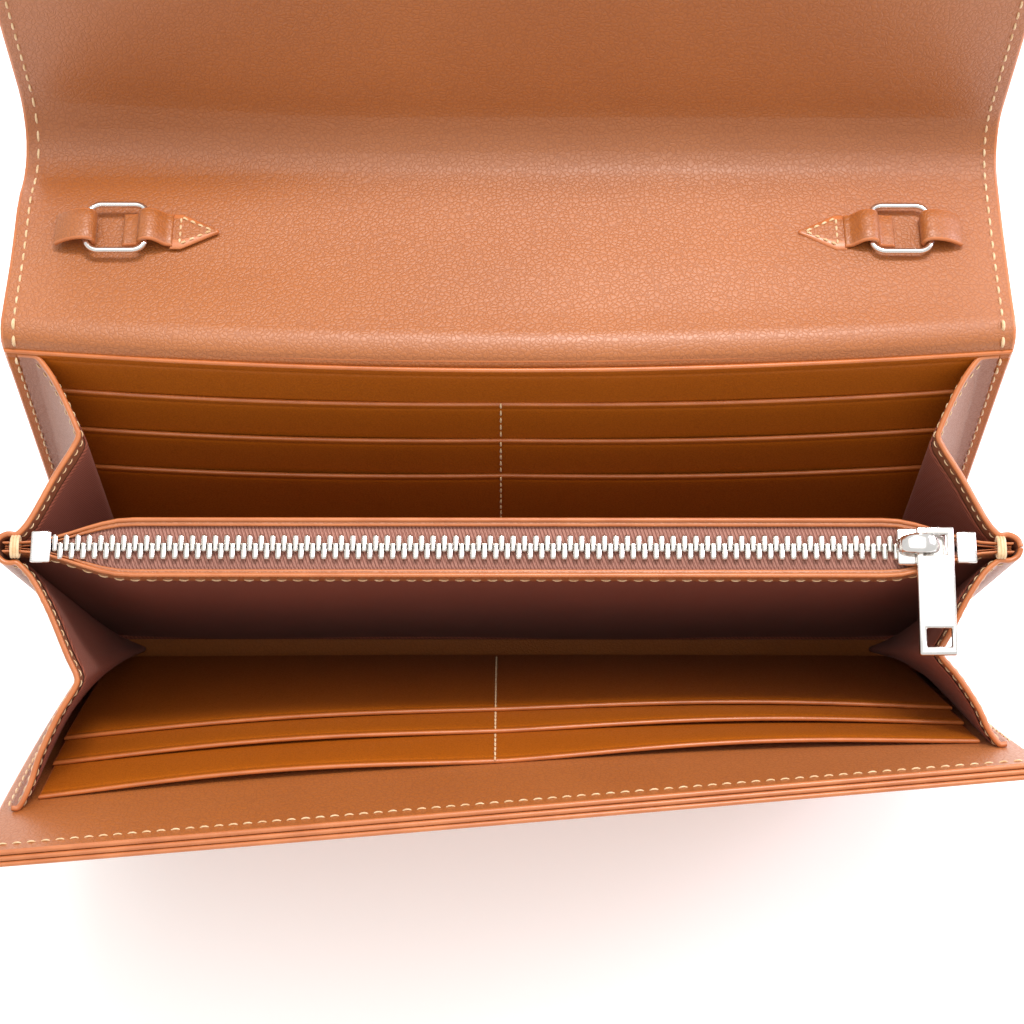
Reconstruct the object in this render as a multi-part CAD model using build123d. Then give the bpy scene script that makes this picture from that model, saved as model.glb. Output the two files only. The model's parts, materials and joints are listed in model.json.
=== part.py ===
from build123d import *
import math
import os

# ---- driving dimensions, millimetres; X across the wallet, +Y to the back, +Z up ----
HALF_WIDTH = 95.0            # half the outside width of the body and flap
BACK_HEIGHT = 98.0           # back panel, along its slope
FRONT_HEIGHT = 95.0          # front panel, along its slope
BACK_HEADING = 85.0          # slope of the back panel, degrees from +Y (90 is upright)
ZIP_HEADING = 104.5          # slope of the zip pocket's centre plane
FRONT_HEADING = 130.5        # slope of the front panel, thrown open

LEATHER = 1.2                # outer leather
BOARD = 0.6                  # stiffener board
LINING = 0.4                 # lining
POCKET_LEATHER = 0.6         # one layer of a card pocket
EDGE_MARGIN = 1.5            # linings and boards stop this far inside the outer leather
BOARD_MARGIN = 2.0           # boards stop this much lower again
PANEL_FOOT = 5.0             # boards, linings and gussets start this far up each slope

BASE_BACK = 7.5              # back edge of the base
BASE_FRONT = -9.4            # front edge of the base
BASE_LEATHER = 1.5
BASE_LINING = 0.5
BASE_LINING_MARGIN = 6.0     # how much less deep the lining is than the base
PANEL_LIFT = 0.3             # gap between the base and the foot of each panel
FRONT_FOOT_IN = 0.4          # the front panel's foot behind the base's front edge

BACK_SLOT_EDGES = (87.0, 76.0, 64.5)      # top edges of the back card slots, from the panel's foot
FRONT_SLOT_EDGES = (76.0, 63.5, 53.5)     # top edges of the front card slots
FULL_POCKET_EDGE = 96.5
POCKET_FOOT = 5.0
FULL_POCKET_HALF = 92.5
SLOT_HALF = 91.0

ZIP_PIVOT = (0.0, 2.8)       # (Y, Z) of the zip pocket's fold line
ZIP_HEIGHT = 84.0
ZIP_HALF = 90.0
ZIP_PANEL = 1.2
ZIP_FOOT_OFFSET = 0.2        # inner face of each pocket panel from the centre plane, at the foot
ZIP_RIM_OFFSET = 4.1         # the same at the rim
ZIP_PANEL_FOOT = 1.2         # the pocket panels start this far up
SPINE_SIZE = (2.6, 0.9)      # the strip that closes the pocket's foot: width, thickness
SPINE_LEVEL = 0.75
FACING_HEIGHT = 9.0
FACING = 0.5

TAPE = 0.5
TAPE_LEVEL = 82.4
TAPE_GAP = 0.7
TAPE_CLEARANCE = 0.15        # between a tape and the pocket panel beside it
TAPE_HALF = 88.0
TOOTH_PITCH = 2.12
TOOTH_LENGTH = 0.95
TOOTH_REACH = 2.15
TOOTH_OVERLAP = 0.45
TOOTH_BELOW = 0.75
TOOTH_ABOVE = 1.25
TEETH_START = -84.0
TEETH_END = 82.5
STOP_LENGTH = 3.8
STOP_WIDTH = 6.0
STOP_THICKNESS = 0.9
STOP_LEFT = -86.6
STOP_RIGHT = 84.9

SLIDER_X = 76.5
SLIDER_LENGTH = 9.5
SLIDER_HALF_WIDTH = 3.6
SLIDER_PLATE = 1.0
SLIDER_CORNER = 1.8
SLIDER_FLANGE = 0.7          # thickness of the rims along the upper plate
SLIDER_FLANGE_LIFT = 0.2     # their gap above the tapes
SLIDER_CLEARANCE = 0.25
POST_OFFSET = 2.0            # the crown's post, from the slider's middle
POST_RADIUS = 1.1
CROWN_FOOT_OFFSET = 3.6      # the crown's other foot
CROWN_RISE = 3.1
CROWN_BEAM = 0.9
CROWN_HALF = 0.8
CROWN_FOOT = 1.2             # length of the crown's other foot
PULL_REACH = 20.5            # from the post to the pull's free end
PULL_BEHIND_POST = 3.2
PULL_WIDTH = 7.0
PULL_THICKNESS = 1.2
PULL_CORNER = 0.9
PULL_EYE = (4.2, 3.6)
PULL_WINDOW = (4.8, 3.4)
PULL_WINDOW_AT = -17.2
PULL_SLOPE = 6.0             # the pull's slope down over the front rim, degrees
PULL_ABOVE_DECK = 1.15

FLAP_OUTER = 1.2
FLAP_BOARD = 0.6
FLAP_LINING = 0.8
FLAP_MID = 1.4               # from the flap's outer face to its bending line
FLAP_GAP = 0.4
FLAP_LINING_MARGIN = 0.8
FLAP_TOP_LENGTH = 34.0
FLAP_TOP_HEADINGS = (0.0, 8.0)
FLAP_BEND_LENGTH = 16.0
FLAP_FRONT_HEADING = 86.0
FLAP_DROP_LENGTH = 66.0

RING_FROM_HINGE = 22.0
RING_X = 74.6
RING_SIZE = (12.5, 11.3)
RING_WIRE = 1.2
RING_CORNER = 1.9
RING_HEIGHT = 1.75           # wire centre above the loops' undersides
RING_FLAP_CLEARANCE = 0.3    # loops above the flap's inner face
LOOP_WIDTH = 7.0
LOOP_RADIUS = 1.75
LOOP_BORE = 0.9
TAB_LENGTH = 5.0
TAB_THICKNESS = 1.1
TRIANGLE = 7.4
KEEPER_TAIL = 4.5

MAGNET_RADIUS = 6.0
MAGNET_CLEARANCE = 0.05
MAGNET_CUTTER = 12.0         # length of the cylinder that cuts a magnet's seat
FRONT_MAGNET_AT = 48.0       # from the front panel's foot
FLAP_MAGNET_AT = 46.0        # from the start of the flap's straight drop

GUSSET_IN = 13.0             # how far each gusset fold reaches inwards at the mouth
GUSSET_IN_FOOT = 1.5
GUSSET_LEATHER = 1.3
GUSSET_LINING = 0.6
GUSSET_CLEAR = 0.35
GUSSET_FOOT_EXTRA = 1.0      # more of the same at the foot of the fold line
GUSSET_AT_PANEL = 0.2        # how far inside the wallet's side a gusset meets the outer panels
GUSSET_BELOW_PANEL = 8.0     # a gusset's mouth below the panels' tops
GUSSET_BELOW_RIM = 6.0       # and below the zip pocket's rim
GUSSET_AT_ZIP = 1.5          # how far inside the wallet's side the zip pocket's edge of a gusset lies
BARTACK = (2.6, 2.4, 3.0)
BARTACK_GAP = 0.1            # between a bartack and the end of the pocket

SECTION = Plane(origin=(0, 0, 0), x_dir=(0, 1, 0), z_dir=(1, 0, 0))


def direction(heading):
    """Unit (Y, Z) vector at that heading."""
    angle = math.radians(heading)
    return math.cos(angle), math.sin(angle)


def shifted(point, heading, along, aside=0.0):
    """The (Y, Z) point moved along a heading, and to its left."""
    c, s = direction(heading)
    return point[0] + along * c - aside * s, point[1] + along * s + aside * c


def walk(point, stretch, share=1.0):
    """The place and heading after a share of a stretch (length, heading at start, heading at end)."""
    length, start, end = stretch
    turn = math.radians(end - start) * share
    heading = start + (end - start) * share
    if abs(turn) < 1e-9:
        return shifted(point, start, length * share), heading
    radius = length * share / turn
    centre = shifted(point, start, 0.0, radius)
    return shifted(centre, heading, 0.0, -radius), heading


def layer_edge(point, stretch, offset, backwards=False):
    """One edge of a layer, parallel to the stretch at that offset to its left."""
    ends = []
    for share in (0.0, 0.5, 1.0):
        place, heading = walk(point, stretch, share)
        ends.append(shifted(place, heading, 0.0, offset))
    if backwards:
        ends.reverse()
    if stretch[1] == stretch[2]:
        return Line(ends[0], ends[2])
    return ThreePointArc(*ends)


def layer(start, stretches, low, high, half_width):
    """A layer of the wallet: the band between two offsets from a path, as wide as the part."""
    points = [start]
    for stretch in stretches:
        points.append(walk(points[-1], stretch)[0])
    places = list(zip(points, stretches))
    near = [layer_edge(p, s, low) for p, s in places]
    far = [layer_edge(p, s, high, backwards=True) for p, s in reversed(places)]
    edges = near + [Line(near[-1] @ 1, far[0] @ 0)] + far + [Line(far[-1] @ 1, near[0] @ 0)]
    face = SECTION * make_face(edges)
    return extrude(face, amount=half_width, both=True)


def save(name, *solids):
    """Writes one sub-part."""
    shape = solids[0] if len(solids) == 1 else Compound(children=list(solids))
    export_step(shape, os.path.join("parts", name + ".step"))


def plate(foot, heading, low, high, bottom, top, half_width):
    """A flat layer of a leaning panel, from bottom to top along its slope."""
    start = shifted(foot, heading, bottom)
    return layer(start, [(top - bottom, heading, heading)], low, high, half_width)


def round_hole(foot, heading, at, radius):
    """A cylinder square to a leaning panel, centred at a distance from its foot."""
    y, z = shifted(foot, heading, at)
    c, s = direction(heading)
    plane = Plane(origin=(0, y, z), x_dir=(1, 0, 0), z_dir=(0, -s, c))
    return plane * Cylinder(radius, MAGNET_CUTTER)


# ---- back panel and base: the body that everything folds from ----
BACK_FOOT = (BASE_BACK, BASE_LEATHER)
FRONT_FOOT = (BASE_FRONT + FRONT_FOOT_IN, BASE_LEATHER + PANEL_LIFT)


def make_base():
    depth = BASE_BACK - BASE_FRONT
    middle = (BASE_BACK + BASE_FRONT) / 2
    leather = Pos(0, middle, BASE_LEATHER / 2) * Box(2 * HALF_WIDTH, depth, BASE_LEATHER)
    save("base_leather", leather)
    lining_depth = depth - BASE_LINING_MARGIN
    height = BASE_LEATHER + BASE_LINING / 2
    lining = Pos(0, middle, height) * Box(2 * SLOT_HALF, lining_depth, BASE_LINING)
    save("base_lining", lining)


def panel_layers(prefix, foot, heading, side, height, magnet_at=None):
    """Outer leather, board and lining; side is +1 where the inside lies to the heading's left."""
    edges = [0.0, LEATHER, LEATHER + BOARD, LEATHER + BOARD + LINING]
    inset = height - EDGE_MARGIN
    outer = plate(foot, heading, 0.0, side * edges[1], 0.0, height, HALF_WIDTH)
    board_top = inset - BOARD_MARGIN
    board = plate(foot, heading, side * edges[1], side * edges[2], PANEL_FOOT, board_top, SLOT_HALF)
    lining = plate(foot, heading, side * edges[2], side * edges[3], PANEL_FOOT, inset, FULL_POCKET_HALF)
    if magnet_at:
        hole = round_hole(foot, heading, magnet_at, MAGNET_RADIUS)
        disc = round_hole(foot, heading, magnet_at, MAGNET_RADIUS - MAGNET_CLEARANCE)
        save(prefix + "_magnet", board & disc)
        board = board - hole
    save(prefix + "_outer_leather", outer)
    save(prefix + "_board", board)
    save(prefix + "_lining", lining)
    return edges[3]


def card_slots(prefix, foot, heading, side, start, edges):
    """Stacked card pockets, each one layer nearer the inside and lower than the one behind it."""
    level = start
    for number, top in enumerate(edges, 1):
        far = level + POCKET_LEATHER
        slot = plate(foot, heading, side * level, side * far, POCKET_FOOT, top, SLOT_HALF)
        save(f"{prefix}_card_slot_{number}", slot)
        level = far


def make_back():
    level = panel_layers("back", BACK_FOOT, BACK_HEADING, 1, BACK_HEIGHT)
    far = level + POCKET_LEATHER
    pocket = plate(BACK_FOOT, BACK_HEADING, level, far, POCKET_FOOT, FULL_POCKET_EDGE, FULL_POCKET_HALF)
    save("back_full_pocket", pocket)
    card_slots("back", BACK_FOOT, BACK_HEADING, 1, far, BACK_SLOT_EDGES)


def make_front():
    level = panel_layers("front", FRONT_FOOT, FRONT_HEADING, -1, FRONT_HEIGHT, FRONT_MAGNET_AT)
    card_slots("front", FRONT_FOOT, FRONT_HEADING, -1, level, FRONT_SLOT_EDGES)


# ---- zip pocket, drawn upright about its own fold line and then leaned ----
LEANED = Pos(0, ZIP_PIVOT[0], ZIP_PIVOT[1]) * Rot(ZIP_HEADING - 90.0, 0, 0)


def zip_side_panel(side, inner, outer):
    """One wall of the pocket, from foot to rim."""
    points = [
        (side * ZIP_FOOT_OFFSET, ZIP_PANEL_FOOT),
        (side * (ZIP_FOOT_OFFSET + ZIP_PANEL), ZIP_PANEL_FOOT),
        (side * outer, ZIP_HEIGHT),
        (side * inner, ZIP_HEIGHT),
    ]
    face = SECTION * make_face(Polyline(*points, close=True))
    return extrude(face, amount=ZIP_HALF, both=True)


def facing_strip(side):
    """The leather facing sewn round the outside of the rim."""
    slope = (ZIP_RIM_OFFSET - ZIP_FOOT_OFFSET) / (ZIP_HEIGHT - ZIP_PANEL_FOOT)
    face_top = ZIP_RIM_OFFSET + ZIP_PANEL
    face_low = face_top - slope * FACING_HEIGHT
    low = ZIP_HEIGHT - FACING_HEIGHT
    points = [
        (side * face_low, low),
        (side * (face_low + FACING), low),
        (side * (face_top + FACING), ZIP_HEIGHT),
        (side * face_top, ZIP_HEIGHT),
    ]
    face = SECTION * make_face(Polyline(*points, close=True))
    return extrude(face, amount=ZIP_HALF, both=True)


def tooth_row(side, shift):
    """A row of metal teeth clamped on one tape's edge."""
    count = int((TEETH_END - TEETH_START) / TOOTH_PITCH)
    middle = side * (TOOTH_REACH - TOOTH_OVERLAP) / 2
    height = TOOTH_BELOW + TOOTH_ABOVE
    level = TAPE_LEVEL + TAPE + (TOOTH_ABOVE - TOOTH_BELOW) / 2
    block = Box(TOOTH_LENGTH, TOOTH_REACH + TOOTH_OVERLAP, height)
    clamp = Box(2 * TOOTH_LENGTH, 2 * TOOTH_REACH, TAPE)
    slot_y = side * (TAPE_GAP + TOOTH_REACH)
    block = Pos(0, middle, level) * block - Pos(0, slot_y, TAPE_LEVEL + TAPE / 2) * clamp
    return [Pos(TEETH_START + shift + number * TOOTH_PITCH, 0, 0) * block for number in range(count)]


def make_zip():
    for name, side in (("zip_rear", 1), ("zip_front", -1)):
        save(name + "_panel", LEANED * zip_side_panel(side, ZIP_RIM_OFFSET, ZIP_RIM_OFFSET + ZIP_PANEL))
        save(name + "_facing", LEANED * facing_strip(side))
        width = ZIP_RIM_OFFSET - TAPE_GAP - TAPE_CLEARANCE
        y = side * (TAPE_GAP + width / 2)
        tape = Pos(0, y, TAPE_LEVEL + TAPE / 2) * Box(2 * TAPE_HALF, width, TAPE)
        save(name + "_tape", LEANED * tape)
        shift = 0.0 if side > 0 else TOOTH_PITCH / 2
        save(name + "_teeth", *[LEANED * tooth for tooth in tooth_row(side, shift)])
    for name, x in (("zip_left_stop", STOP_LEFT), ("zip_right_stop", STOP_RIGHT)):
        level = TAPE_LEVEL + TAPE + STOP_THICKNESS / 2
        block = Pos(x, 0, level) * Box(STOP_LENGTH, STOP_WIDTH, STOP_THICKNESS)
        save(name, LEANED * block)
    spine = Pos(0, 0, SPINE_LEVEL) * Box(2 * ZIP_HALF, *SPINE_SIZE)
    save("zip_pocket_spine", LEANED * spine)


def make_slider():
    top_level = TAPE_LEVEL + TAPE + TOOTH_ABOVE + SLIDER_CLEARANCE
    low_level = TAPE_LEVEL + TAPE - TOOTH_BELOW - SLIDER_CLEARANCE - SLIDER_PLATE
    plan = RectangleRounded(SLIDER_LENGTH, 2 * SLIDER_HALF_WIDTH, SLIDER_CORNER)
    upper = Pos(0, 0, top_level) * extrude(plan, SLIDER_PLATE)
    lower = Pos(0, 0, low_level) * extrude(plan, SLIDER_PLATE)
    flange_height = top_level - TAPE_LEVEL - TAPE - SLIDER_FLANGE_LIFT
    for side in (1, -1):
        y = side * (SLIDER_HALF_WIDTH - SLIDER_FLANGE / 2)
        flange = Box(SLIDER_LENGTH - 2 * SLIDER_CORNER, SLIDER_FLANGE, flange_height)
        flange = Pos(0, y, top_level - flange_height / 2) * flange
        upper = upper + flange
    deck = top_level + SLIDER_PLATE
    post = Pos(POST_OFFSET, 0, deck + CROWN_RISE / 2) * Cylinder(POST_RADIUS, CROWN_RISE)
    beam_length = POST_OFFSET + CROWN_FOOT_OFFSET
    beam_x = (POST_OFFSET - CROWN_FOOT_OFFSET) / 2
    beam = Box(beam_length, 2 * CROWN_HALF, CROWN_BEAM)
    beam = Pos(beam_x, 0, deck + CROWN_RISE - CROWN_BEAM / 2) * beam
    foot = Pos(-CROWN_FOOT_OFFSET, 0, deck + CROWN_RISE / 2) * Box(CROWN_FOOT, 2 * CROWN_HALF, CROWN_RISE)
    crowned = upper + post + beam + foot
    place = LEANED * Pos(SLIDER_X, 0, 0)
    save("zip_slider", place * crowned, place * lower)
    return deck


def make_pull(deck):
    """A flat bar whose eye turns on the slider's post, with a window near its free end."""
    length = PULL_BEHIND_POST + PULL_REACH
    middle = (PULL_BEHIND_POST - PULL_REACH) / 2
    bar = Pos(0, middle, 0) * Box(PULL_WIDTH, length, PULL_THICKNESS)
    bar = fillet(bar.edges().filter_by(Axis.Z), PULL_CORNER)
    eye = Box(PULL_EYE[0], PULL_EYE[1], 2 * PULL_THICKNESS)
    window = Pos(0, PULL_WINDOW_AT, 0) * Box(PULL_WINDOW[0], PULL_WINDOW[1], 2 * PULL_THICKNESS)
    place = LEANED * Pos(SLIDER_X + POST_OFFSET, 0, deck + PULL_ABOVE_DECK) * Rot(PULL_SLOPE, 0, 0)
    save("zip_pull", place * (bar - eye - window))


# ---- flap ----
FLAP_START = shifted(BACK_FOOT, BACK_HEADING, BACK_HEIGHT + FLAP_MID + FLAP_GAP, LEATHER)
FLAP_TOP = (FLAP_TOP_LENGTH, *FLAP_TOP_HEADINGS)
FLAP_BEND = (FLAP_BEND_LENGTH, FLAP_TOP_HEADINGS[1], FLAP_FRONT_HEADING)
FLAP_DROP = (FLAP_DROP_LENGTH, FLAP_FRONT_HEADING, FLAP_FRONT_HEADING)


def flap_layers(prefix, start, stretches, magnet_place=None):
    """Leather, board and lining of one part of the flap."""
    low = -FLAP_MID
    for part_name, thickness, inset in (
        ("outer_leather", FLAP_OUTER, 0.0),
        ("board", FLAP_BOARD, HALF_WIDTH - SLOT_HALF),
        ("lining", FLAP_LINING, FLAP_LINING_MARGIN),
    ):
        piece = layer(start, stretches, low, low + thickness, HALF_WIDTH - inset)
        if magnet_place and part_name == "board":
            disc = magnet_place * Cylinder(MAGNET_RADIUS - MAGNET_CLEARANCE, MAGNET_CUTTER)
            save(prefix + "_magnet", piece & disc)
            piece = piece - magnet_place * Cylinder(MAGNET_RADIUS, MAGNET_CUTTER)
        save(prefix + "_" + part_name, piece)
        low += thickness


def make_flap():
    bend_start, bend_heading = walk(FLAP_START, FLAP_TOP)
    flap_layers("flap_top", FLAP_START, [FLAP_TOP])
    gap_start = shifted(bend_start, bend_heading, 2 * FLAP_GAP)
    drop_start, drop_heading = walk(gap_start, FLAP_BEND)
    y, z = shifted(drop_start, drop_heading, FLAP_MAGNET_AT)
    c, s = direction(drop_heading)
    magnet_place = Plane(origin=(0, y, z), x_dir=(1, 0, 0), z_dir=(0, -s, c))
    flap_layers("flap_front", gap_start, [FLAP_BEND, FLAP_DROP], magnet_place)


# ---- strap rings on the flap's inner face ----
def ring_place(side):
    """A ring's frame: X outwards, Y along the flap away from its hinge, Z off the flap's inner face."""
    share = RING_FROM_HINGE / FLAP_TOP_LENGTH
    (y, z), heading = walk(FLAP_START, FLAP_TOP, share)
    c, s = direction(heading)
    inner_face = FLAP_OUTER + FLAP_BOARD + FLAP_LINING - FLAP_MID
    y, z = shifted((y, z), heading, 0.0, inner_face + RING_FLAP_CLEARANCE)
    return Plane(origin=(side * RING_X, y, z), x_dir=(side, 0, 0), z_dir=(0, -s, c))


def loop_round(x, end_x, radius):
    """A leather loop round a bar at x, its two layers closed together towards end_x."""
    side = 1 if end_x > x else -1
    round_end = Cylinder(radius, LOOP_WIDTH)
    length = abs(end_x - x)
    body = Pos(side * length / 2, 0, 0) * Box(length, 2 * radius, LOOP_WIDTH)
    hole = Cylinder(LOOP_BORE, 2 * LOOP_WIDTH)
    return Pos(x, 0, RING_HEIGHT) * Rot(90, 0, 0) * (round_end + body - hole)


def make_rings():
    for name, side in (("left", -1), ("right", 1)):
        place = ring_place(side)
        length, width = RING_SIZE
        hole = RectangleRounded(length - 2 * RING_WIRE, width - 2 * RING_WIRE, RING_CORNER - RING_WIRE)
        outline = RectangleRounded(length, width, RING_CORNER) - hole
        ring = Pos(0, 0, RING_HEIGHT - RING_WIRE / 2) * extrude(outline, RING_WIRE)
        save(f"{name}_strap_ring", place * ring)
        bar = length / 2 - RING_WIRE / 2
        save(f"{name}_ring_tab", place * loop_round(-bar, -bar - TAB_LENGTH, LOOP_RADIUS))
        foot_x = -bar - TAB_LENGTH
        points = [(foot_x, -TRIANGLE / 2), (foot_x, TRIANGLE / 2), (foot_x - TRIANGLE, 0)]
        patch = extrude(make_face(Polyline(*points, close=True)), TAB_THICKNESS)
        save(f"{name}_ring_tab_patch", place * patch)
        keeper = loop_round(bar, bar + KEEPER_TAIL, LOOP_RADIUS)
        save(f"{name}_ring_keeper", place * keeper)


# ---- gussets: each side has a rear and a front one, folded inwards like a W ----
def corner(side, x, point):
    return Vector(side * x, point[0], point[1])


def folded_sheet(side, rear, fold, front, thick):
    """A closed sheet over three lines (foot, top), each line an (x at foot, x at top, foot, top) group."""
    lines = []
    for x_foot, x_top, foot, top in (rear, fold, front):
        lines.append((corner(side, x_foot, foot), corner(side, x_top, top)))
    shift = Vector(-side * thick, 0, 0)
    faces = []
    for move in (Vector(0, 0, 0), shift):
        for (a, b), (c, d) in zip(lines, lines[1:]):
            faces += [(a + move, c + move, b + move), (c + move, d + move, b + move)]
    rim = [lines[0][0], lines[1][0], lines[2][0], lines[2][1], lines[1][1], lines[0][1]]
    for a, b in zip(rim, rim[1:] + rim[:1]):
        faces += [(a, b, b + shift), (a, b + shift, a + shift)]
    made = [Face(Wire.make_polygon(points, close=True)) for points in faces]
    return Solid(Shell(made))


def gusset(side, rear_foot, rear_heading, rear_top, front_foot, front_heading, front_top, rear_in, front_in):
    """Leather and lining of one gusset between two panels; feet are (Y, Z) of the panels' facing surfaces."""
    rear = (rear_foot, shifted(rear_foot, rear_heading, rear_top))
    front = (front_foot, shifted(front_foot, front_heading, front_top))
    middle = []
    for a, b in zip(rear, front):
        middle.append(((a[0] + b[0]) / 2, (a[1] + b[1]) / 2))
    made = []
    inset = 0.0
    for thick in (GUSSET_LEATHER, GUSSET_LINING):
        lines = [
            (rear_in + inset, rear_in + inset, *rear),
            (GUSSET_IN_FOOT + inset + GUSSET_FOOT_EXTRA, GUSSET_IN + inset, *middle),
            (front_in + inset, front_in + inset, *front),
        ]
        lines = [(HALF_WIDTH - a, HALF_WIDTH - b, foot, top) for a, b, foot, top in lines]
        made.append(folded_sheet(side, *lines, thick))
        inset += thick
    return made


def make_gussets():
    back_face = LEATHER + BOARD + LINING
    rear_start = shifted(BACK_FOOT, BACK_HEADING, PANEL_FOOT, back_face + GUSSET_CLEAR)
    zip_face = ZIP_FOOT_OFFSET + ZIP_PANEL + GUSSET_CLEAR
    zip_rear = shifted(ZIP_PIVOT, ZIP_HEADING, PANEL_FOOT, -zip_face)
    zip_front = shifted(ZIP_PIVOT, ZIP_HEADING, PANEL_FOOT, zip_face)
    front_start = shifted(FRONT_FOOT, FRONT_HEADING, PANEL_FOOT, -(back_face + GUSSET_CLEAR))
    flare = math.degrees(math.atan((ZIP_RIM_OFFSET - ZIP_FOOT_OFFSET) / ZIP_HEIGHT))
    zip_top = ZIP_HEIGHT - GUSSET_BELOW_RIM
    back_top = BACK_HEIGHT - GUSSET_BELOW_PANEL
    front_top = FRONT_HEIGHT - GUSSET_BELOW_PANEL
    rear = (
        rear_start, BACK_HEADING, back_top,
        zip_rear, ZIP_HEADING - flare, zip_top,
        GUSSET_AT_PANEL, GUSSET_AT_ZIP,
    )
    front = (
        zip_front, ZIP_HEADING + flare, zip_top,
        front_start, FRONT_HEADING, front_top,
        GUSSET_AT_ZIP, GUSSET_AT_PANEL,
    )
    for side_name, side in (("left", -1), ("right", 1)):
        for name, numbers in (("rear", rear), ("front", front)):
            leather, lining = gusset(side, *numbers)
            save(f"{side_name}_{name}_gusset", leather)
            save(f"{side_name}_{name}_gusset_lining", lining)
        x = side * (ZIP_HALF + BARTACK[0] / 2 + BARTACK_GAP)
        tack = Pos(x, 0, ZIP_HEIGHT - BARTACK[2]) * Box(*BARTACK)
        save(f"{side_name}_zip_end_tack", LEANED * tack)


def main():
    os.makedirs("parts", exist_ok=True)
    make_base()
    make_back()
    make_front()
    make_zip()
    make_pull(make_slider())
    make_flap()
    make_rings()
    make_gussets()


main()
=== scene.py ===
import json
import math

import bmesh
import bpy
import numpy as np
from mathutils import Matrix, Vector


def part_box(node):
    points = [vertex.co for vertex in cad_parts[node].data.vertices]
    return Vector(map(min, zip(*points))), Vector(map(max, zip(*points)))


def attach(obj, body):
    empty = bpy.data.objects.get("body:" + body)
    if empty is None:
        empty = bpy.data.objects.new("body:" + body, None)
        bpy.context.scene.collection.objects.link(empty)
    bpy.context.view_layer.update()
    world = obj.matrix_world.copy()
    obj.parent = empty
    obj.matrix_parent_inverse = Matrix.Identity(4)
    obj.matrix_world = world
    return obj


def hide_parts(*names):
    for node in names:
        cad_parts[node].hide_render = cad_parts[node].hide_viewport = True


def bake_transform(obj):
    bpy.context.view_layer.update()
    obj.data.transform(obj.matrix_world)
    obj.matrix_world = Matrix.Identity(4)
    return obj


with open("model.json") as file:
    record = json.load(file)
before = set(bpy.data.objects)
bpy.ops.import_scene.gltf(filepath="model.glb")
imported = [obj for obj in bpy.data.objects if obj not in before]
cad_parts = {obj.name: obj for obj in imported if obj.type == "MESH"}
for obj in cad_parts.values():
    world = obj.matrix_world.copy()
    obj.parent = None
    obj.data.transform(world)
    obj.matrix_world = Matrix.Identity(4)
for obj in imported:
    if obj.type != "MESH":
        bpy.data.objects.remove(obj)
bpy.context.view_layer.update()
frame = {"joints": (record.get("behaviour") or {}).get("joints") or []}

MM = 0.001
SIDES = ((-1, "left"), (1, "right"))

# ---- the wallet's section, millimetres: Y to the back, Z up, headings in degrees from +Y ----
JOINTS = {joint["name"]: joint for joint in frame["joints"]}


def pivot(joint):
    """A joint's (Y, Z) place in millimetres."""
    place = JOINTS[joint]["pos_m"]
    return place[1] / MM, place[2] / MM


HALF_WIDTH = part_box("back_outer_leather")[1].x / MM
ZIP_FOOT = pivot("zip_pocket_fold")
FRONT_FOOT = pivot("front_panel_fold")
BACK_FOOT = (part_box("base_leather")[1].y / MM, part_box("base_leather")[1].z / MM)
BACK_HEADING = 85.0
ZIP_HEADING = 104.5
FRONT_HEADING = 130.5
BACK_TOP = 98.0
FRONT_TOP = 95.0
ZIP_TOP = 84.0
ZIP_END = 93.4               # where the pocket's walls end
ZIP_NARROWS = 70.0           # where the pocket's mouth starts to narrow
ZIP_CLOSES = 90.5            # where its walls lie together
BACK_BOW = 4.2               # how far the back's top bows forward in the middle
FRONT_TWIST = 5.2            # how much wider the front stands open at its left end, degrees
FRONT_BULGE = 3.5            # how far the front panel's middle bulges inwards
OUTER = 1.2                  # outer leather's thickness
LINED = 2.2                  # outer leather, board and lining together
FRONT_LAYERS = ((-0.8, 0.15), (0.2, 1.15), (1.2, LINED))    # outer leather, board and lining
SEAM_INSET = 2.6             # from an edge to its seam
STITCH_PITCH = 2.6

BACK_SLOTS = (87.0, 76.0, 64.5)
FRONT_SLOTS = (76.0, 63.5, 53.5)
SLOT_LEATHER = 0.85          # a card slot's thickness
SLOT_STEP = 0.85             # from one card slot to the next
SLOT_HALF = 88.0
SLOT_FOOT = 3.5
SLOT_COLUMNS = 91.0          # half the width over which two columns gape
FULL_POCKET = 96.6
FULL_POCKET_HALF = 94.6
FULL_POCKET_STEP = 0.8

FLANGE = 1.25                # a gusset's flange stands this far off the panel's lining
SIDE_SEAM = 92.5
SEAM_FOOT = 4.0
REAR_GUSSET_TOP = 96.5       # where the gussets end, up the back and front panels
FRONT_GUSSET_TOP = 80.0
GUSSET_FOOT = 3.0
GUSSET_LEATHER = 1.05
GUSSET_LINING = 0.5
GUSSET_LINING_TOP = 0.953    # the lining's top, as a share of the gusset's height

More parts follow.
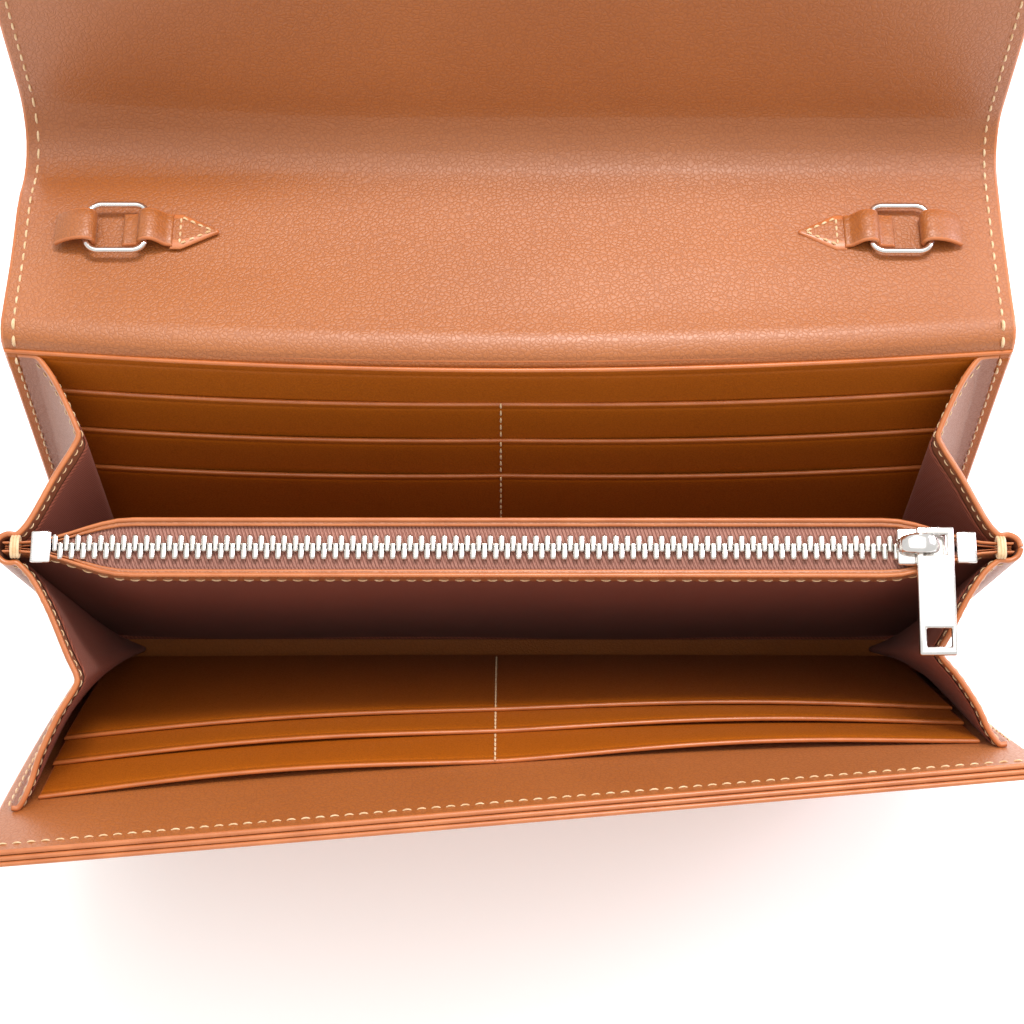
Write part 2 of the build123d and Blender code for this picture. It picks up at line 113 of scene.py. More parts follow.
HINGE_RADIUS = 3.4
HINGE_REACH = HINGE_RADIUS * math.tan(math.radians(BACK_HEADING / 2))
FLAP_FROM = 88.0             # where the flap's leather starts on the back panel, up its slope
FLAP_START_AT = 99.8         # the flap fold's place, up the same slope
FLAP_TOP_RUN = 34.4
FLAP_TOP_HEADINGS = (0.0, 8.0)
FLAP_BEND_RUN = 16.4
FLAP_DROP_RUN = 66.0
FLAP_DROP_HEADING = 86.0
FLAP_MID = 1.4               # from the flap's outer face to its bending line
FLAP_SPLIT = 1.3             # from its outer face to where its two leathers meet
FLAP_THICK = 2.6
FLAP_RUNS = (                # length, heading at its start, heading at its end
    (FLAP_START_AT - FLAP_FROM - HINGE_REACH, BACK_HEADING, BACK_HEADING),
    (HINGE_RADIUS * math.radians(BACK_HEADING), BACK_HEADING, 0.0),
    (FLAP_TOP_RUN - HINGE_REACH, *FLAP_TOP_HEADINGS),
    (FLAP_BEND_RUN, FLAP_TOP_HEADINGS[1], FLAP_DROP_HEADING),
    (FLAP_DROP_RUN, FLAP_DROP_HEADING, FLAP_DROP_HEADING),
)
FLAP_LENGTH = sum(run[0] for run in FLAP_RUNS)
HINGE_S = FLAP_RUNS[0][0] + FLAP_RUNS[1][0] - HINGE_REACH
BEND_S = FLAP_LENGTH - FLAP_DROP_RUN - FLAP_BEND_RUN
SPLIT_S = HINGE_S + 16.0     # where the flap's hinge piece meets its front piece
FLAP_LEAN = 5.2              # how far its left front stands out, to clear the twisted front panel

TOOTH_PITCH = 2.12
TEETH = (-84.0, 74.0)
SLIDER_POST = JOINTS["pull_turn"]["pos_m"][0] / MM


def direction(heading):
    """Unit (Y, Z) vector at that heading."""
    angle = math.radians(heading)
    return math.cos(angle), math.sin(angle)


def shifted(point, heading, along, aside=0.0):
    """The (Y, Z) point moved along a heading, and to its left."""
    c, s = direction(heading)
    return point[0] + along * c - aside * s, point[1] + along * s + aside * c


def bell(value, width):
    """A soft bump round zero."""
    return math.exp(-((value / width) ** 2))


def ease(value):
    """Smooth step from 0 to 1."""
    value = max(0.0, min(1.0, value))
    return value * value * (3 - 2 * value)


def swelling(gap):
    """A quarter circle: 0 at a sheet's very edge, 1 from a gap of 1 inwards."""
    return math.sqrt(max(0.0, 1 - (1 - min(gap, 1.0)) ** 2))


def middle_share(x):
    """1 in the wallet's middle, 0 at its sides."""
    return 1 - (x / HALF_WIDTH) ** 2


# ---- where a point of each panel lies; n is its height above the panel's outer face ----
def back_at(x, s, n):
    """A point of the back panel, s up its slope and n in from its outer face."""
    bow = BACK_BOW * middle_share(x) * ease(s / BACK_TOP)
    return x, *shifted(BACK_FOOT, BACK_HEADING, s, n + bow)


def front_at(x, s, n):
    """A point of the front panel, s up its slope and n in from its outer face."""
    heading = FRONT_HEADING - FRONT_TWIST * (0.3 + 0.7 * s / FRONT_TOP) * x / HALF_WIDTH
    bulge = FRONT_BULGE * middle_share(x) * math.sin(math.pi * s / FRONT_TOP)
    return x, *shifted(FRONT_FOOT, heading, s, -n - bulge)


def lens(x):
    """The zip pocket's mouth narrows to nothing at its two ends."""
    return max(0.0, 1 - ease((abs(x) - ZIP_NARROWS) / (ZIP_CLOSES - ZIP_NARROWS)))


def zip_at(x, s, n):
    """A point of the zip pocket, s up its centre plane and n behind it."""
    return x, *shifted(ZIP_FOOT, ZIP_HEADING, s, -n)


def zip_gap(x, s):
    """Half the pocket's inside thickness there."""
    return 0.1 + 3.9 * (s / ZIP_TOP) * lens(x)


def thinned(x):
    """The pocket's layers are pressed thin where its walls lie together."""
    return 0.55 + 0.45 * lens(x)


def flap_path(s):
    """(Y, Z) and heading on the flap's bending line at a distance from its start on the back panel."""
    point, heading, left = shifted(BACK_FOOT, BACK_HEADING, FLAP_FROM, FLAP_MID), BACK_HEADING, s
    for length, start, end in FLAP_RUNS:
        run = min(left, length)
        turn = math.radians(end - start) * run / length
        heading = start + (end - start) * run / length
        if abs(turn) < 1e-9:
            point = shifted(point, start, run)
        else:
            centre = shifted(point, start, 0.0, run / turn)
            point = shifted(centre, heading, 0.0, -run / turn)
        left -= run
        if left <= 1e-9:
            break
    return point, heading


def flap_at(x, s, n):
    """A point of the flap, s from its start on the back panel and n above its outer face."""
    point, heading = flap_path(s)
    lean = FLAP_LEAN * ease((-x / HALF_WIDTH - 0.25) / 0.75) * ease((s - BEND_S + 6.0) / 16.0)
    y, z = shifted(point, heading, 0.0, n - FLAP_MID - lean)
    y -= BACK_BOW * middle_share(x) * (1 - ease((s - HINGE_S) / 30.0))
    on_top = ease((s - HINGE_S - 6.0) / 12.0) * (1 - ease((s - BEND_S) / 20.0))
    z += 0.5 * math.sin(x / 41.0 + 0.6) * on_top
    return x, y, z


# ---- mesh builders ----
EDGE_ROWS = (0.08, 0.3, 0.62, 1.0, 1.6)                    # rows by a rounded edge, in half thicknesses
END_ROW = 0.15                                             # a row beside every end, for clean shading
CREASE_ROWS = (-1.6, -0.9, -0.45, 0.0, 0.45, 0.9, 1.6)     # rows by a crease, in its widths
CREASE_WIDTH = 0.45
CREASE_DEPTH = 0.16


def make_object(name, vertices, faces, materials, indices=None):
    """A smooth-shaded object from millimetre points."""
    mesh = bpy.data.meshes.new(name)
    mesh.from_pydata([tuple(c * MM for c in v) for v in vertices], [], faces)
    for material in materials:
        mesh.materials.append(material)
    if indices is not None:
        mesh.polygons.foreach_set("material_index", indices)
    mesh.polygons.foreach_set("use_smooth", [True] * len(mesh.polygons))
    mesh.validate()
    mesh.update()
    piece = bpy.data.objects.new(name, mesh)
    bpy.context.scene.collection.objects.link(piece)
    return piece


def fix_normals(piece):
    """Turns all faces outwards."""
    work = bmesh.new()
    work.from_mesh(piece.data)
    bmesh.ops.recalc_face_normals(work, faces=work.faces)
    work.to_mesh(piece.data)
    work.free()
    return piece


def stations(low, high, step, edge, soft_low, soft_high, extra=()):
    """Places from low to high about step apart, closer together at rounded ends."""
    places = list(np.linspace(low, high, max(2, int(round((high - low) / step)) + 1)))
    if soft_low:
        places += [low + edge * r for r in EDGE_ROWS]
    if soft_high:
        places += [high - edge * r for r in EDGE_ROWS]
    places += [low + END_ROW, high - END_ROW]
    places += [e for e in extra if low < e < high]
    places.sort()
    kept = [places[0]]
    for place in places[1:]:
        if place - kept[-1] > edge * 0.06:
            kept.append(place)
    kept[-1] = high
    return kept


def sheet(name, at, x_range, s_range, n_range, materials, step=4.0, soft=(True,) * 4, extra_s=(), creases=()):
    """A thick sheet over an x and s range, between two heights n, with rounded rims on its soft sides.
    The rims take the second material. Creases are pressed lines at those s, in the upper face."""
    extra_s = [*extra_s, *(crease + CREASE_WIDTH * share for crease in creases for share in CREASE_ROWS)]
    half, middle = (n_range[1] - n_range[0]) / 2, (n_range[0] + n_range[1]) / 2
    xs = stations(*x_range, step, half, soft[0], soft[1])
    ss = stations(*s_range, step, half, soft[2], soft[3], extra_s)
    vertices, top, bottom = [], {}, {}

    def rim(i, j):
        """The distance to the nearest soft side."""
        gaps = (xs[i] - xs[0], xs[-1] - xs[i], ss[j] - ss[0], ss[-1] - ss[j])
        return min((gap for is_soft, gap in zip(soft, gaps) if is_soft), default=9.0)

    for i, x in enumerate(xs):
        for j, s in enumerate(ss):
            swell = swelling(rim(i, j) / half)
            pressed = sum(CREASE_DEPTH * bell(s - crease, CREASE_WIDTH * 0.8) for crease in creases)
            top[i, j] = bottom[i, j] = len(vertices)
            vertices.append(at(x, s, middle + half * swell - pressed * swell))
            if swell >= 1e-6:
                bottom[i, j] = len(vertices)
                vertices.append(at(x, s, middle - half * swell))
    faces, indices = [], []
    for i in range(len(xs) - 1):
        for j in range(len(ss) - 1):
            corners = ((i, j), (i + 1, j), (i + 1, j + 1), (i, j + 1))
            on_rim = int(max(rim(*corner) for corner in corners) < half * 1.05)
            for side, order in ((top, 1), (bottom, -1)):
                faces.append([side[corner] for corner in corners][::order])
                indices.append(on_rim)
    last_i, last_j = len(xs) - 1, len(ss) - 1
    ends = (
        [(0, j) for j in range(len(ss))],
        [(last_i, j) for j in range(len(ss))][::-1],
        [(i, 0) for i in range(len(xs))][::-1],
        [(i, last_j) for i in range(len(xs))],
    )
    for is_soft, wall in zip(soft, ends):
        if is_soft:
            continue
        copies = {}
        for index in (side[place] for place in wall for side in (top, bottom)):
            if index not in copies:
                copies[index] = len(vertices)
                vertices.append(vertices[index])
        for a, b in zip(wall, wall[1:]):
            loop = list(dict.fromkeys(copies[index] for index in (top[a], top[b], bottom[b], bottom[a])))
            if len(loop) > 2:
                faces.append(loop)
                indices.append(0)
    return fix_normals(make_object(name, vertices, faces, materials, indices))


def skin(count, sides, closed=False):
    """The faces round count rings of vertices, with flat ends unless the rings close on themselves."""
    faces = []
    for k in range(count if closed else count - 1):
        here, ahead = k * sides, (k + 1) % count * sides
        for m in range(sides):
            n = (m + 1) % sides
            faces.append((here + m, here + n, ahead + n, ahead + m))
    if not closed:
        faces.append(tuple(range(sides))[::-1])
        faces.append(tuple(range((count - 1) * sides, count * sides)))
    return faces


def tube(points, normals, radii, sides=8, closed=False):
    """Vertices and faces of a tube through points, flattened by (wide, high) radii."""
    vertices = []
    last = len(points) - 1
    for k, (point, normal, (wide, high)) in enumerate(zip(points, normals, radii)):
        after, before = ((k + 1) % (last + 1), k - 1) if closed else (min(k + 1, last), max(k - 1, 0))
        ahead = (points[after] - points[before]).normalized()
        across = ahead.cross(normal).normalized()
        up = across.cross(ahead)
        for m in range(sides):
            angle = 2 * math.pi * m / sides
            vertices.append(point + across * (wide * math.cos(angle)) + up * (high * math.sin(angle)))
    return vertices, skin(len(points), sides, closed)


def seam(name, point_at, length, pitch=STITCH_PITCH, radius=0.19, heavy=()):
    """A row of thread stitches; point_at(distance) gives a place and the normal there, in millimetres."""
    vertices, faces = [], []
    count = max(1, int(round(length / pitch)))
    step = length / count
    for number in range(count):
        half = step * 0.33
        thick = radius * (1.45 if number in heavy else 1.0)
        slant = 0.018 if number % 2 else 0.0108
        points, normals, radii = [], [], []
        for share in (-1.0, -0.8, -0.4, 0.0, 0.4, 0.8, 1.0):
            place, normal = point_at(min(length, max(0.0, (number + 0.5) * step + half * share)))
            arch = 0.05 + thick * (0.55 - 1.5 * abs(share) ** 3)
            points.append(Vector(place) + Vector(normal) * (arch + slant * share))
            normals.append(Vector(normal))
            shrink = thick * (1 - 0.55 * abs(share) ** 3)
            radii.append((shrink, 0.85 * shrink))
        new_vertices, new_faces = tube(points, normals, radii)
        faces += [tuple(len(vertices) + v for v in face) for face in new_faces]
        vertices += new_vertices
    return make_object(name, vertices, faces, [THREAD])


def panel_seam(name, at, start, end, n, under=False, **more):
    """Straight stitches between two (x, s) places on a panel's face at height n, or under it."""
    length = math.dist(start, end)

    def point_at(distance):
        share = distance / length
        x = start[0] + (end[0] - start[0]) * share
        s = start[1] + (end[1] - start[1]) * share
        place = Vector(at(x, s, n))
        along = Vector(at(x + 0.4, s, n)) - place
        up = Vector(at(x, s + 0.4, n)) - place
        outward = Vector(at(x, s, n + 1.0)) - place
        normal = along.cross(up).normalized()
        return place, -normal if (normal.dot(outward) < 0) != under else normal

    return seam(name, point_at, length, **more)


# ---- materials ----
class Recipe:
    """A node material, and short ways to build it."""

    def __init__(self, name):
        self.made = bpy.data.materials.new(name)
        self.made.use_nodes = True
        self.nodes = self.made.node_tree.nodes
        self.place = self.nodes.new("ShaderNodeTexCoord").outputs["Object"]

    def feed(self, owner, inputs):
        """Gives each input a number, a colour or another node's output."""
        for name, value in inputs.items():
            socket = owner.inputs[name]
            if isinstance(value, bpy.types.NodeSocket):
                self.made.node_tree.links.new(value, socket)
            else:
                socket.default_value = (*value, 1.0) if socket.type == "RGBA" else value

    def node(self, kind, inputs, **settings):
        """A new node's outputs."""
        made = self.nodes.new("ShaderNode" + kind)
        for setting, value in settings.items():
            setattr(made, setting, value)
        self.feed(made, inputs)
        return made.outputs

    def noise(self, scale, detail=4.0, roughness=0.55, distortion=0.0):
        return self.node("TexNoise", {"Vector": self.place, "Scale": scale, "Detail": detail,
                                      "Roughness": roughness, "Distortion": distortion})["Fac"]

    def ramp(self, factor, *stops):
        made = self.nodes.new("ShaderNodeValToRGB")
        elements = made.color_ramp.elements
        while len(elements) < len(stops):
            elements.new(0.5)
        for element, (place, colour) in zip(elements, stops):
            element.position = place
            element.color = (*colour, 1.0)
        self.feed(made, {"Fac": factor})
        return made.outputs["Color"]

    def mixed(self, factor, first, second, blend):
        return self.node("Mix", {"Factor": factor, 6: first, 7: second}, data_type="RGBA", blend_type=blend)[2]

    def sum(self, first, second, share=1.0):
        """first + second * share"""
        part = self.node("Math", {0: second, 1: share}, operation="MULTIPLY")[0]
        return self.node("Math", {0: first, 1: part}, operation="ADD")[0]

    def spread(self, value, low, high):
        return self.node("MapRange", {"Value": value, "To Min": low, "To Max": high})["Result"]

    def bump(self, height, distance, strength):
        return self.node("Bump", {"Height": height, "Distance": distance, "Strength": strength})["Normal"]

    def shaded(self, inputs):
        """Fills in the shader and gives the material."""
        self.feed(self.nodes["Principled BSDF"], inputs)
        return self.made


def leather(name, light, dark, grain=1150.0, depth=0.5, shine=1.0):
    """Pebbled leather: raised cells with darker creases between them, and slow changes of tone."""
    made = Recipe(name)
    warp = made.node("TexNoise", {"Vector": made.place, "Scale": grain * 0.5})["Color"]
    moved = made.mixed(0.0012, made.place, warp, "ADD")
    cells = made.node("TexVoronoi", {"Vector": moved, "Scale": grain}, feature="DISTANCE_TO_EDGE")["Distance"]
    pebble = made.ramp(cells, (0.0, (0, 0, 0)), (0.16, (0.75, 0.75, 0.75)), (0.5, (1, 1, 1)))
    tone = made.ramp(made.noise(9.0, 3.0, 0.6, 0.4), (0.3, dark), (0.7, light))
    crease = made.ramp(pebble, (0.0, (0.72, 0.66, 0.62)), (0.6, (1, 1, 1)))
    height = made.sum(pebble, made.noise(grain * 2.6, 3.0), 0.35)
    return made.shaded({
        "Base Color": made.mixed(0.55, tone, crease, "MULTIPLY"),
        "Roughness": made.spread(pebble, 0.56, 0.42),
        "Normal": made.bump(height, 0.00012, depth),
        "Specular IOR Level": 0.5 * shine,
        "Sheen Weight": 0.04 * shine, "Sheen Roughness": 0.4,
        "Coat Weight": 0.22 * shine, "Coat Roughness": 0.34,
    })


def edge_paint_and_highlight(name, light, dark):
    """The smooth painted rim of cut leather, lighter than the leather: partly the paint's own colour, partly a
    painted highlight.
    """
    made = Recipe(name)
    return made.shaded({
        "Base Color": made.ramp(made.noise(160.0), (0.3, dark), (0.7, light)),
        "Normal": made.bump(made.noise(900.0), 0.00006, 0.4),
        "Roughness": 0.34, "Coat Weight": 0.3, "Coat Roughness": 0.25,
    })


def woven(name, light, dark, pitch, slant, sheen, depth):
    """Twill: slanted ribs crossed by a finer weave."""
    made = Recipe(name)
    ribs = []
    for turn, scale in ((math.radians(52.0 * slant), 1.0), (math.radians(-38.0 * slant), 1.7)):
        turned = made.node("Mapping", {"Vector": made.place, "Rotation": (turn * 0.6, turn, turn * 0.35)})["Vector"]
        ribs.append(made.node("TexWave", {"Vector": turned, "Scale": scale * 0.314 / pitch, "Distortion": 0.6,
                                          "Detail": 1.0, "Detail Scale": 3.0})["Fac"])
    weave = made.sum(ribs[0], ribs[1], 0.6)
    shown = made.node("Math", {0: weave, 1: 0.6}, operation="MULTIPLY")[0]
    tone = made.ramp(shown, (0.15, dark), (0.8, light))
    worn = made.ramp(made.noise(22.0), (0.3, (0.86, 0.84, 0.84)), (0.7, (1.06, 1.04, 1.03)))
    height = made.sum(weave, made.noise(2600.0, 2.0), 0.4)
    return made.shaded({
        "Base Color": made.mixed(0.8, tone, worn, "MULTIPLY"),
        "Normal": made.bump(height, pitch * 0.22, depth),
        "Roughness": 0.82, "Sheen Weight": sheen, "Sheen Roughness": 0.45, "Sheen Tint": (1.0, 0.82, 0.78),
    })


def thread_material():
    """Twisted waxed thread."""
    made = Recipe("cream_thread")
    return made.shaded({
        "Base Color": made.ramp(made.noise(900.0), (0.3, (0.66, 0.40, 0.18)), (0.7, (0.86, 0.66, 0.40))),
        "Normal": made.bump(made.noise(3200.0, 2.0), 0.00005, 0.6),
        "Roughness": 0.55, "Sheen Weight": 0.3,
    })


def metal_material(name, colour, low, high):
    """Polished nickel with faint wiping marks."""
    made = Recipe(name)
    smear = made.noise(420.0, 5.0, 0.6, 0.5)
    return made.shaded({
        "Base Color": made.ramp(smear, (0.25, tuple(c * 0.93 for c in colour)), (0.75, colour)),
        "Metallic": 1.0,
        "Roughness": made.spread(smear, low, high),
        "Normal": made.bump(made.noise(1500.0), 0.00002, 0.15),
    })


TAN = leather("tan_leather", (0.45, 0.138, 0.024), (0.37, 0.104, 0.014), depth=0.5, shine=1.5)
TAN_OUT = leather("tan_leather_outside", (0.43, 0.125, 0.025), (0.36, 0.095, 0.016), depth=0.62)
# pocket_leather is a deeper, less yellow orange than tan_leather: painted bounce light from the leather walls inside
# the wallet.
SLOT = leather("pocket_leather", (0.43, 0.110, 0.005), (0.38, 0.092, 0.003), grain=1500.0, depth=0.28, shine=0.4)
# The rims' lighter tone is partly their edge paint's own colour and partly a painted highlight on the rounded rims.
RIM = edge_paint_and_highlight("edge_paint_and_highlight", (0.60, 0.20, 0.065), (0.48, 0.14, 0.04))
SLOT_RIM = edge_paint_and_highlight("pocket_edge_paint_and_highlight", (0.58, 0.17, 0.04), (0.45, 0.12, 0.025))
TWILL = woven("mauve_twill", (0.34, 0.090, 0.045), (0.15, 0.032, 0.015), 0.00055, 1.0, 0.07, 0.6)
# gusset_leather is the tan leather given a greyer mauve tone: painted sheen on the gussets' outer faces.
GUSSET_OUT = leather("gusset_leather", (0.36, 0.125, 0.055), (0.27, 0.085, 0.035), grain=1400.0, depth=0.3)
TAPE = woven("zip_tape_weave", (0.46, 0.225, 0.17), (0.22, 0.08, 0.055), 0.00048, 0.85, 0.15, 0.9)
THREAD = thread_material()
NICKEL = metal_material("polished_nickel", (0.86, 0.84, 0.81), 0.10, 0.22)
TEETH_METAL = metal_material("tooth_nickel", (0.80, 0.76, 0.70), 0.16, 0.32)
LEATHERS = [TAN, RIM]
OUTSIDES = [TAN_OUT, RIM]
SLOTS = [SLOT, SLOT_RIM]


def placed(piece, body, slot_name, *nodes):
    """Rides the piece on its body and hides the CAD parts it stands for; slot_name is not used."""
    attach(piece, body)
    if nodes:
        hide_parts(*nodes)
    return piece


def bent(piece, first, second, start, end, slot_name, *nodes):
    """Bakes the piece's transform and hides the CAD parts it stands for; the two bodies, start and end ((Y, Z) in
    millimetres) are not used.
    """
    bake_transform(piece)
    if nodes:
        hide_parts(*nodes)
    return piece


# ---- back and front panels ----
def build_slots(word, at, body, tops, level, gapes, gape_reach, gape_power, seam_x, seam_past):
    """Three rows of card slots, each in front of the last, and the seam that makes two columns of them."""
    for number, (top, most) in enumerate(zip(tops, gapes), 1):

        def slot_at(x, s, n, top=top, most=most):
            arch = math.sin(math.pi * min(1.0, abs(x) / SLOT_COLUMNS)) ** gape_power
            return at(x, s, n + most * bell(s - top, gape_reach) * arch)

        slot = sheet(f"{word}_card_slot_leather_{number}", slot_at, (-SLOT_HALF, SLOT_HALF), (SLOT_FOOT, top),
                     (level, level + SLOT_LEATHER), SLOTS, creases=(top - 1.5,))
        placed(slot, body, "pocket_leather", f"{word}_card_slot_{number}")
        level += SLOT_STEP
    runs = ((8.0, tops[2]), (tops[2], tops[1]), (tops[1], tops[0] + seam_past))
    for number, (low, high) in enumerate(runs, 1):
        stitched = panel_seam(f"{word}_divider_seam_{number}", at, (seam_x, low), (seam_x, high),
                              level + 0.08, pitch=2.2, radius=0.2)
        placed(stitched, body, "thread")
        level -= SLOT_STEP


def build_side_seams(word, at, body, inside_top, outside_top, outside_n, heavy=()):
    """The seams up a panel's two sides, inside over the gussets' flanges and outside."""
    for side, side_name in SIDES:
        x = side * SIDE_SEAM
        placed(panel_seam(f"{word}_{side_name}_seam_inside", at, (x, SEAM_FOOT), (x, inside_top),
                          LINED + FLANGE, heavy=heavy), body, "thread")
        placed(panel_seam(f"{word}_{side_name}_seam_outside", at, (x, SEAM_FOOT), (x, outside_top),
                          outside_n, under=True), body, "thread")


def build_back():
    wide = (-HALF_WIDTH, HALF_WIDTH)
    outer = sheet("back_leather", back_at, wide, (0.0, FLAP_FROM), (0.0, OUTER), OUTSIDES,
                  soft=(True, True, True, False))
    placed(outer, "body_back", "tan_leather", "back_outer_leather", "back_board")
    lining = sheet("back_lining_leather", back_at, wide, (2.0, BACK_TOP + 0.4), (OUTER, LINED), SLOTS)
    placed(lining, "body_back", "pocket_leather", "back_lining")

    def pocket_at(x, s, n):
        return back_at(x, s, n + 0.5 * bell(s - FULL_POCKET, 10.0) * bell(x / HALF_WIDTH, 0.7))

    pocket = sheet("back_full_pocket_leather", pocket_at, (-FULL_POCKET_HALF, FULL_POCKET_HALF),
                   (3.0, FULL_POCKET + 0.6), (LINED, LINED + 0.9), SLOTS, creases=(FULL_POCKET - 1.3,))
    placed(pocket, "body_back", "pocket_leather", "back_full_pocket")
    build_slots("back", back_at, "body_back", BACK_SLOTS, LINED + FULL_POCKET_STEP,
                (0.32, 0.42, 0.52), 7.0, 1.0, -1.5, 0.8)
    build_side_seams("back", back_at, "body_back", BACK_TOP - 2.0, FLAP_FROM - 2.0, 0.0, range(33, 40))


def build_front():
    wide = (-HALF_WIDTH, HALF_WIDTH)
    outside, board, inside = FRONT_LAYERS
    outer = sheet("front_leather", front_at, wide, (0.0, FRONT_TOP), outside, OUTSIDES)
    placed(outer, "front_panel", "tan_leather", "front_outer_leather", "front_magnet")
    middle = sheet("front_board_leather", front_at, wide, (1.0, FRONT_TOP - 0.2), board, OUTSIDES)
    placed(middle, "front_panel", "tan_leather", "front_board")
    lining = sheet("front_lining_leather", front_at, wide, (2.0, FRONT_TOP - 0.5), inside, LEATHERS)
    placed(lining, "front_panel", "tan_leather", "front_lining")
    build_slots("front", front_at, "front_panel", FRONT_SLOTS, LINED, (1.3, 0.9, 0.6), 11.0, 1.5, -2.5, 0.6)
    edge = FRONT_TOP - SEAM_INSET - 0.4
    for ending, n, under in (("", LINED, False), ("_outside", outside[0], True)):
        placed(panel_seam(f"front_top_seam{ending}", front_at, (-92.0, edge), (92.0, edge), n, under=under),
               "front_panel", "thread")
    build_side_seams("front", front_at, "front_panel", FRONT_GUSSET_TOP, edge - 1.0, outside[0])


# ---- base ----
def build_base():
    low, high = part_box("base_leather")
    depth = (high.y - low.y) / MM
    y0 = low.y / MM

    def base_at(x, s, n):
        return x, y0 + s, n

    outer = sheet("base_leather_sheet", base_at, (-HALF_WIDTH, HALF_WIDTH), (0.0, depth), (0.0, 1.5), OUTSIDES,
                  step=3.0)
    placed(outer, "body_back", "tan_leather", "base_leather")

    def floor_at(x, s, n):
        dish = 1.2 * math.sin(math.pi * s / depth)
        return x, y0 + s, 3.0 + n - dish + 0.9 * (abs(x) / HALF_WIDTH) ** 2

    floor = sheet("base_floor", floor_at, (-92.0, 92.0), (0.6, depth - 0.6), (0.0, 0.6), LEATHERS, step=2.5)
    placed(floor, "body_back", "tan_leather", "base_lining")


# ---- zip pocket ----
def build_zip_walls():
    for sign, word in ((1, "rear"), (-1, "front")):

        def wall_at(x, s, n, sign=sign):
            ripple = 0.25 * math.sin(x / 13.0) * ease(1 - s / 40.0) * lens(x)
            return zip_at(x, s, sign * (zip_gap(x, s) + n * thinned(x) + ripple))

        wall = sheet(f"zip_{word}_wall", wall_at, (-ZIP_END, ZIP_END), (0.8, ZIP_TOP - 3.0), (0.0, 0.9),
                     [TWILL, TWILL])
        placed(wall, "zip_pocket", "mauve_twill", f"zip_{word}_panel")
        facing = sheet(f"zip_{word}_facing_strip", wall_at, (-ZIP_END - 0.3, ZIP_END + 0.3),
                       (ZIP_TOP - 4.6, ZIP_TOP + 0.3), (0.85, 1.7), LEATHERS, step=3.0)
        placed(facing, "zip_pocket", "tan_leather", f"zip_{word}_facing")

        def lip_at(x, s, n, sign=sign):
            reach = zip_gap(x, ZIP_TOP) + (1.2 - s) * thinned(x) * (0.3 + 0.7 * lens(x))
            return zip_at(x, ZIP_TOP - 1.0 + n, sign * reach)

        lip = sheet(f"zip_{word}_lip", lip_at, (-ZIP_END, ZIP_END), (0.0, 1.1), (0.0, 0.8), LEATHERS, step=3.0)
        placed(lip, "zip_pocket", "tan_leather")
        level = ZIP_TOP - 2.9
        stitched = panel_seam(f"zip_{word}_seam", wall_at, (-89.0, level), (89.0, level), 1.7, pitch=3.0)
        placed(stitched, "zip_pocket", "thread")

        def tape_at(x, s, n, sign=sign):
            rib = 0.10 * math.sin(s * 7.0)
            reach = 0.55 + s * max(0.15, lens(x))
            return zip_at(x, ZIP_TOP - 1.35 + n + rib - 0.05 * s, sign * reach)

        tape = sheet(f"zip_{word}_tape_cloth", tape_at, (-91.0, 91.0), (0.0, 3.7), (0.0, 0.5), [TAPE, TAPE],
                     step=0.45)
        placed(tape, "zip_pocket", "zip_tape", f"zip_{word}_tape")


TOOTH_OUTLINE = (            # (across the zip from the tooth's middle, half width along the zip)
    (-2.3, 0.44), (-1.9, 0.55), (-0.7, 0.56), (-0.3, 0.44), (0.1, 0.46), (0.55, 0.52), (0.8, 0.40),
)
TOOTH_SIDES = 12
TOOTH_SQUARENESS = 0.45


def tooth_mesh(sign):
    """One tooth in its own place, (along, up, across): a squarish bar with a waist and a head."""
    vertices = []
    for across, half in TOOTH_OUTLINE:
        tall = 0.98 if across < 0.2 else 0.882
        for m in range(TOOTH_SIDES):
            c, s = direction(360.0 * m / TOOTH_SIDES)
            along = half * math.copysign(abs(c) ** TOOTH_SQUARENESS, c)
            up = tall * math.copysign(abs(s) ** TOOTH_SQUARENESS, s)
            vertices.append((along, up, -sign * across))
    return vertices, skin(len(TOOTH_OUTLINE), TOOTH_SIDES)


def build_teeth():
    count = int((TEETH[1] - TEETH[0]) / TOOTH_PITCH)
    for sign, word, offset in ((1, "rear", 0.0), (-1, "front", TOOTH_PITCH / 2)):
        tooth_vertices, tooth_faces = tooth_mesh(sign)
        vertices, faces = [], []
        for number in range(count):
            middle = TEETH[0] + offset + number * TOOTH_PITCH
            faces += [tuple(len(vertices) + v for v in face) for face in tooth_faces]
            vertices += [zip_at(middle + along, ZIP_TOP - 0.55 + up, across) for along, up, across in tooth_vertices]
        teeth = fix_normals(make_object(f"zip_{word}_tooth_row", vertices, faces, [TEETH_METAL]))
        placed(teeth, "zip_pocket", "polished_metal", f"zip_{word}_teeth")


def block(name, centre, size):
    """A plain block, the start of a rounded one or the cutter of a hole."""
    work = bmesh.new()
    bmesh.ops.create_cube(work, size=1.0)
    bmesh.ops.scale(work, vec=size, verts=work.verts)
    bmesh.ops.translate(work, vec=centre, verts=work.verts)
    mesh = bpy.data.meshes.new(name)
    work.to_mesh(mesh)
    work.free()
    made = bpy.data.objects.new(name, mesh)
    bpy.context.scene.collection.objects.link(made)
    return made


